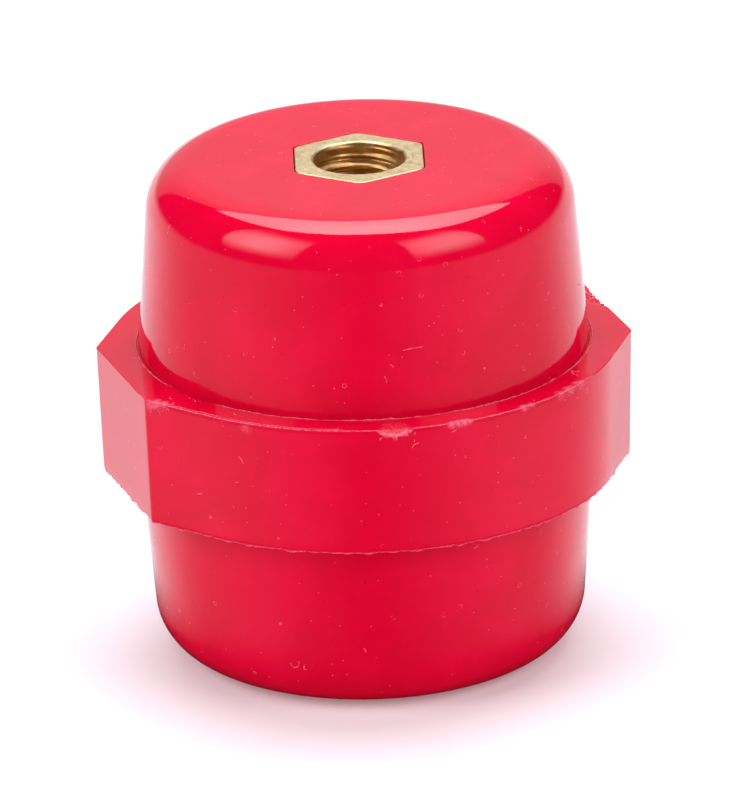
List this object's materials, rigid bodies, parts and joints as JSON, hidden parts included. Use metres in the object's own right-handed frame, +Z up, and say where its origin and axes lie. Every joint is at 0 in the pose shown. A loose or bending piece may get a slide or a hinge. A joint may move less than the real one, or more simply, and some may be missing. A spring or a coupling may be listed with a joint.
{
  "type": "busbar standoff insulator",
  "caption": "Drum-shaped moulded standoff insulator that holds a busbar off its mounting plate, with a threaded metal insert in each end.",
  "frame": {"origin": "on the part's axis, in the plane of the foot's end face", "axes": "+Z runs up the axis to the upper insert, +X is the outward side of one of the two spanner flats of the collar, +Y completes a right-handed frame"},
  "size_m": [0.045, 0.045, 0.045],
  "materials": {
    "moulding_compound": "glossy red glass-filled polyester moulding compound",
    "insert_brass": "satin machined brass, dulled by moulding"
  },
  "bodies": {
    "root": {"insulator_body": "moulding_compound", "top_threaded_insert": "insert_brass", "bottom_threaded_insert": "insert_brass"}
  },
  "joints": []
}
